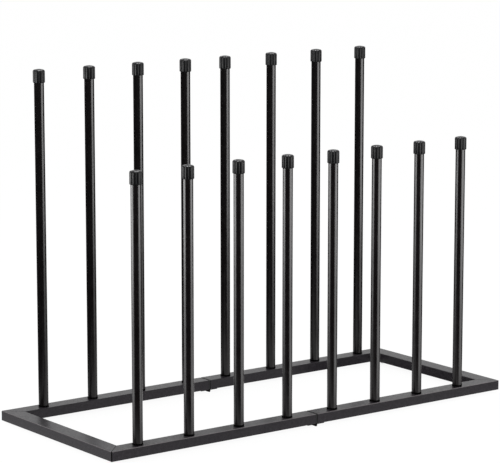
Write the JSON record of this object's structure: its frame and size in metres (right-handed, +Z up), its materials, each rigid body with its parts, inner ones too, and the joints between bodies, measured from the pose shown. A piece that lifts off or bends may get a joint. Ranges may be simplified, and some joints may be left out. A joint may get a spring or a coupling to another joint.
{
  "type": "boot rack",
  "caption": "Free-standing boot rack: a folding rectangular box-tube base with a front row of short capped poles and a rear row of tall ones that hold boots upside down.",
  "frame": {"origin": "on the floor under the middle of the base, midway between the end rails and between the front and rear rails", "axes": "+X along the rack from the left half to the right half, +Y from the front row of short poles to the rear row of tall poles, +Z up the poles"},
  "size_m": [0.785, 0.32, 0.5685],
  "materials": {
    "rail_coat": "matte fine-textured black powder coat",
    "pole_coat": "satin black powder coat",
    "cap_plastic": "moulded black plastic, fluted",
    "plug_plastic": "moulded black plastic",
    "insert_plastic": "moulded black nylon",
    "hinge_coat": "black coated steel",
    "bolt_steel": "zinc plated",
    "foot_rubber": "translucent white rubber"
  },
  "bodies": {
    "left_half": {"left_end_rail": "rail_coat", "left_front_rail": "rail_coat", "left_front_plug": "plug_plastic", "left_rear_rail": "rail_coat", "left_rear_plug": "plug_plastic", "pole_front_1": "pole_coat", "pole_front_2": "pole_coat", "pole_front_3": "pole_coat", "pole_front_4": "pole_coat", "left_front_caps": "cap_plastic", "pole_rear_1": "pole_coat", "pole_rear_2": "pole_coat", "pole_rear_3": "pole_coat", "pole_rear_4": "pole_coat", "left_rear_caps": "cap_plastic", "left_pole_inserts": "insert_plastic", "left_pole_bolts": "bolt_steel", "hinge_front_left_leaf": "hinge_coat", "hinge_rear_left_leaf": "hinge_coat", "left_hinge_screws": "hinge_coat", "left_feet": "foot_rubber", "hinge_front_pin": "hinge_coat", "hinge_rear_pin": "hinge_coat"},
    "right_half": {"right_end_rail": "rail_coat", "right_front_rail": "rail_coat", "right_front_plug": "plug_plastic", "right_rear_rail": "rail_coat", "right_rear_plug": "plug_plastic", "pole_front_5": "pole_coat", "pole_front_6": "pole_coat", "pole_front_7": "pole_coat", "pole_front_8": "pole_coat", "right_front_caps": "cap_plastic", "pole_rear_5": "pole_coat", "pole_rear_6": "pole_coat", "pole_rear_7": "pole_coat", "pole_rear_8": "pole_coat", "right_rear_caps": "cap_plastic", "right_pole_inserts": "insert_plastic", "right_pole_bolts": "bolt_steel", "hinge_front_right_leaf": "hinge_coat", "hinge_rear_right_leaf": "hinge_coat", "right_hinge_screws": "hinge_coat", "right_feet": "foot_rubber"}
  },
  "joints": [
    {"name": "base_fold", "type": "hinge", "parent": "left_half", "child": "right_half", "pos_m": [0, 0, 0.0027], "axis": [0, 1, 0], "range_deg": [0, 179]}
  ]
}
